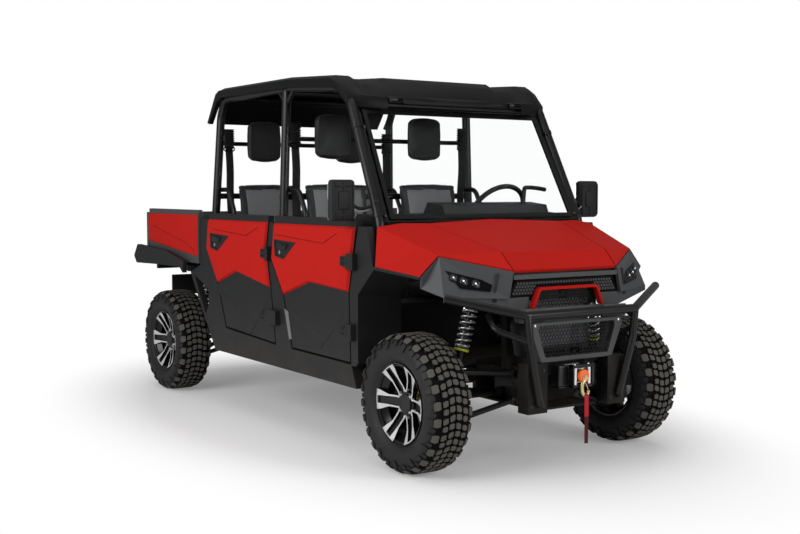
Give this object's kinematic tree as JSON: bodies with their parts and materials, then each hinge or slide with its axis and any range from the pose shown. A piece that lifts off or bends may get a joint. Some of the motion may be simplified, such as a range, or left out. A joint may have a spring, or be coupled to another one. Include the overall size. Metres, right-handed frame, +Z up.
{
  "type": "side-by-side utility vehicle",
  "caption": "Four-door crew side-by-side with a roll cage, roof, windscreen, tipping cargo bed, front guard with winch, and steered, rolling wheels.",
  "frame": {"origin": "on the ground, under the middle of the length between the front stopper and the rear flare tips, on the middle plane", "axes": "Z up, the nose towards -Y, the right-hand side of the vehicle towards -X"},
  "size_m": [1.758, 3.72, 1.949],
  "materials": {
    "tyre_rubber": "matte, brownish black",
    "rim_metal": "gloss black with machined silver edges",
    "knuckle_iron": "satin",
    "frame_black": "satin black powder coat",
    "damper_steel": "satin",
    "spring_silver": "gloss silver",
    "battery_case": "satin dark grey",
    "trim_charcoal": "grained charcoal",
    "grip_rubber": "matte",
    "seat_vinyl": "soft vinyl, grained",
    "belt_web": "woven webbing",
    "clear_glass": "clear",
    "lamp_lens": "gloss black lens",
    "tail_red": "gloss red lens",
    "painted_red": "gloss red",
    "winch_case": "satin black",
    "hook_gold": "gold passivated"
  },
  "bodies": {
    "body": {"body_sides": "trim_charcoal", "bumper_guard": "frame_black", "cage_crossbars": "frame_black", "cage_side_hoops": "frame_black", "chassis_frame": "frame_black", "coil_springs": "spring_silver", "dashboard": "trim_charcoal", "floor_pan": "trim_charcoal", "front_fascia": "trim_charcoal", "front_fenders": "painted_red", "grille_meshes": "trim_charcoal", "grille_panel": "trim_charcoal", "grille_surround": "painted_red", "half_shafts": "damper_steel", "headlights": "lamp_lens", "headrests": "seat_vinyl", "hook_strap": "belt_web", "lower_bezel": "trim_charcoal", "mirrors": "trim_charcoal", "power_units": "battery_case", "radiator": "battery_case", "rear_flares": "trim_charcoal", "rear_knuckles": "knuckle_iron", "roof_panel": "trim_charcoal", "seat_backs": "seat_vinyl", "seat_bases": "trim_charcoal", "seat_belts": "belt_web", "seat_cushions": "seat_vinyl", "shock_absorbers": "damper_steel", "steering_housings": "trim_charcoal", "suspension_arms": "frame_black", "tail_lamps": "tail_red", "winch": "winch_case", "winch_hook": "hook_gold", "windscreen": "clear_glass", "windscreen_frame": "frame_black"},
    "front_right_wheel": {"front_right_tyre": "tyre_rubber", "front_right_rim": "rim_metal"},
    "front_right_door_body": {"front_right_door": "trim_charcoal", "front_right_door_skin": "painted_red"},
    "front_left_wheel": {"front_left_tyre": "tyre_rubber", "front_left_rim": "rim_metal"},
    "front_left_door_body": {"front_left_door": "trim_charcoal", "front_left_door_skin": "painted_red"},
    "rear_right_wheel": {"rear_right_tyre": "tyre_rubber", "rear_right_rim": "rim_metal"},
    "rear_right_door_body": {"rear_right_door": "trim_charcoal", "rear_right_door_skin": "painted_red"},
    "rear_left_wheel": {"rear_left_tyre": "tyre_rubber", "rear_left_rim": "rim_metal"},
    "rear_left_door_body": {"rear_left_door": "trim_charcoal", "rear_left_door_skin": "painted_red"},
    "front_right_upright": {"front_right_knuckle": "knuckle_iron"},
    "front_left_upright": {"front_left_knuckle": "knuckle_iron"},
    "rack_bar": {"steering_rack": "damper_steel"},
    "hand_wheel": {"steering_wheel": "grip_rubber"},
    "hood_lid": {"hood": "painted_red"},
    "cargo_bed": {"bed_tub": "trim_charcoal", "bed_panels": "painted_red"},
    "gate": {"tailgate": "trim_charcoal"}
  },
  "joints": [
    {"name": "front_right_steer", "type": "hinge", "parent": "body", "child": "front_right_upright", "pos_m": [-0.575, -1.395, 0.33], "axis": [0, 0, 1], "range_deg": [-30, 30]},
    {"name": "front_left_steer", "type": "hinge", "parent": "body", "child": "front_left_upright", "pos_m": [0.575, -1.395, 0.33], "axis": [0, 0, 1], "range_deg": [-31, 31]},
    {"name": "rack_slide", "type": "slide", "parent": "body", "child": "rack_bar", "axis": [1, 0, 0], "range_m": [-0.05, 0.05]},
    {"name": "hand_wheel_turn", "type": "hinge", "parent": "body", "child": "hand_wheel", "pos_m": [0.335, -0.747, 1.197], "axis": [0, 0.848, 0.5299], "range_deg": [-275, 275]},
    {"name": "front_right_wheel_spin", "type": "hinge", "parent": "front_right_upright", "child": "front_right_wheel", "pos_m": [-0.66, -1.395, 0.33], "axis": [1, 0, 0], "continuous": true},
    {"name": "front_left_wheel_spin", "type": "hinge", "parent": "front_left_upright", "child": "front_left_wheel", "pos_m": [0.66, -1.395, 0.33], "axis": [1, 0, 0], "continuous": true},
    {"name": "rear_right_wheel_spin", "type": "hinge", "parent": "body", "child": "rear_right_wheel", "pos_m": [-0.66, 1.425, 0.33], "axis": [1, 0, 0], "continuous": true},
    {"name": "rear_left_wheel_spin", "type": "hinge", "parent": "body", "child": "rear_left_wheel", "pos_m": [0.66, 1.425, 0.33], "axis": [1, 0, 0], "continuous": true},
    {"name": "front_right_door_swing", "type": "hinge", "parent": "body", "child": "front_right_door_body", "pos_m": [-0.762, -0.949, 0.8], "axis": [0, 0, 1], "range_deg": [0, 70]},
    {"name": "front_left_door_swing", "type": "hinge", "parent": "body", "child": "front_left_door_body", "pos_m": [0.762, -0.949, 0.8], "axis": [0, 0, -1], "range_deg": [0, 70]},
    {"name": "rear_right_door_swing", "type": "hinge", "parent": "body", "child": "rear_right_door_body", "pos_m": [-0.762, -0.077, 0.8], "axis": [0, 0, 1], "range_deg": [0, 70]},
    {"name": "rear_left_door_swing", "type": "hinge", "parent": "body", "child": "rear_left_door_body", "pos_m": [0.762, -0.077, 0.8], "axis": [0, 0, -1], "range_deg": [0, 70]},
    {"name": "hood_lift", "type": "hinge", "parent": "body", "child": "hood_lid", "pos_m": [0, -1.145, 1.14], "axis": [-1, 0, 0], "range_deg": [0, 50]},
    {"name": "bed_tip", "type": "hinge", "parent": "body", "child": "cargo_bed", "pos_m": [0, 1.645, 0.852], "axis": [-1, 0, 0], "range_deg": [0, 40]},
    {"name": "tailgate_drop", "type": "hinge", "parent": "cargo_bed", "child": "gate", "pos_m": [0, 1.699, 0.878], "axis": [-1, 0, 0], "range_deg": [0, 90]}
  ],
  "couplings": [
    {"joint": "front_left_steer", "follows": "front_right_steer", "ratio": 1},
    {"joint": "rack_slide", "follows": "front_right_steer", "m_per_rad": -0.092},
    {"joint": "hand_wheel_turn", "follows": "front_right_steer", "ratio": 9}
  ]
}
